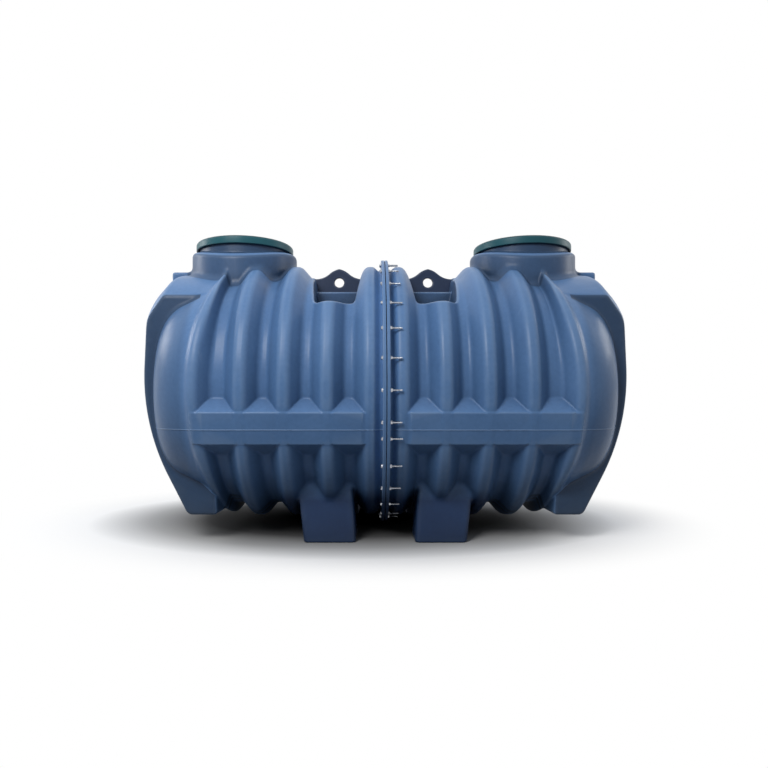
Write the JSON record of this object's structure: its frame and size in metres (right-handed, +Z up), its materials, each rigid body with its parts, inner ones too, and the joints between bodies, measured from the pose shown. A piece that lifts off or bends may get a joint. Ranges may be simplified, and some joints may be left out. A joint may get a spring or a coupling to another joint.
{
  "type": "horizontal plastic oil separator tank",
  "caption": "Blue ribbed plastic oil separator tank in two bolted halves, with moulded feet, side bands, lifting lugs and a capped manhole on each half.",
  "frame": {"origin": "middle of the footprint, at the level of the feet, under the bolted joint", "axes": "+X along the tank to the right half, +Y to the rear, +Z up"},
  "size_m": [2.6332, 1.5998, 1.756],
  "materials": {
    "shell": "satin moulded blue polyethylene",
    "lid": "satin moulded dark green polyethylene",
    "seal": "matt black rubber",
    "gasket": "matt black rubber"
  },
  "bodies": {
    "tank": {"flange_gasket": "gasket", "left_upper_front_shell": "shell", "left_upper_rear_shell": "shell", "left_lower_front_shell": "shell", "left_lower_rear_shell": "shell", "left_front_dome": "shell", "left_rear_dome": "shell", "left_end_boss": "shell", "left_end_ridge": "shell", "left_front_neck": "shell", "left_rear_neck": "shell", "left_lug_recess": "shell", "left_lifting_lug": "shell", "left_front_band": "shell", "left_rear_band": "shell", "left_front_foot": "shell", "left_rear_foot": "shell", "left_flange": "shell", "left_lid_seal": "seal", "right_upper_front_shell": "shell", "right_upper_rear_shell": "shell", "right_lower_front_shell": "shell", "right_lower_rear_shell": "shell", "right_front_dome": "shell", "right_rear_dome": "shell", "right_end_boss": "shell", "right_end_ridge": "shell", "right_front_neck": "shell", "right_rear_neck": "shell", "right_lug_recess": "shell", "right_lifting_lug": "shell", "right_front_band": "shell", "right_rear_band": "shell", "right_front_foot": "shell", "right_rear_foot": "shell", "right_flange": "shell", "right_lid_seal": "seal"},
    "left_lid": {"left_manhole_lid": "lid"},
    "right_lid": {"right_manhole_lid": "lid"}
  },
  "joints": [
    {"name": "left_lid_lift", "type": "slide", "parent": "tank", "child": "left_lid", "axis": [0, 0, 1], "range_m": [0, 0.35]},
    {"name": "right_lid_lift", "type": "slide", "parent": "tank", "child": "right_lid", "axis": [0, 0, 1], "range_m": [0, 0.35]}
  ]
}
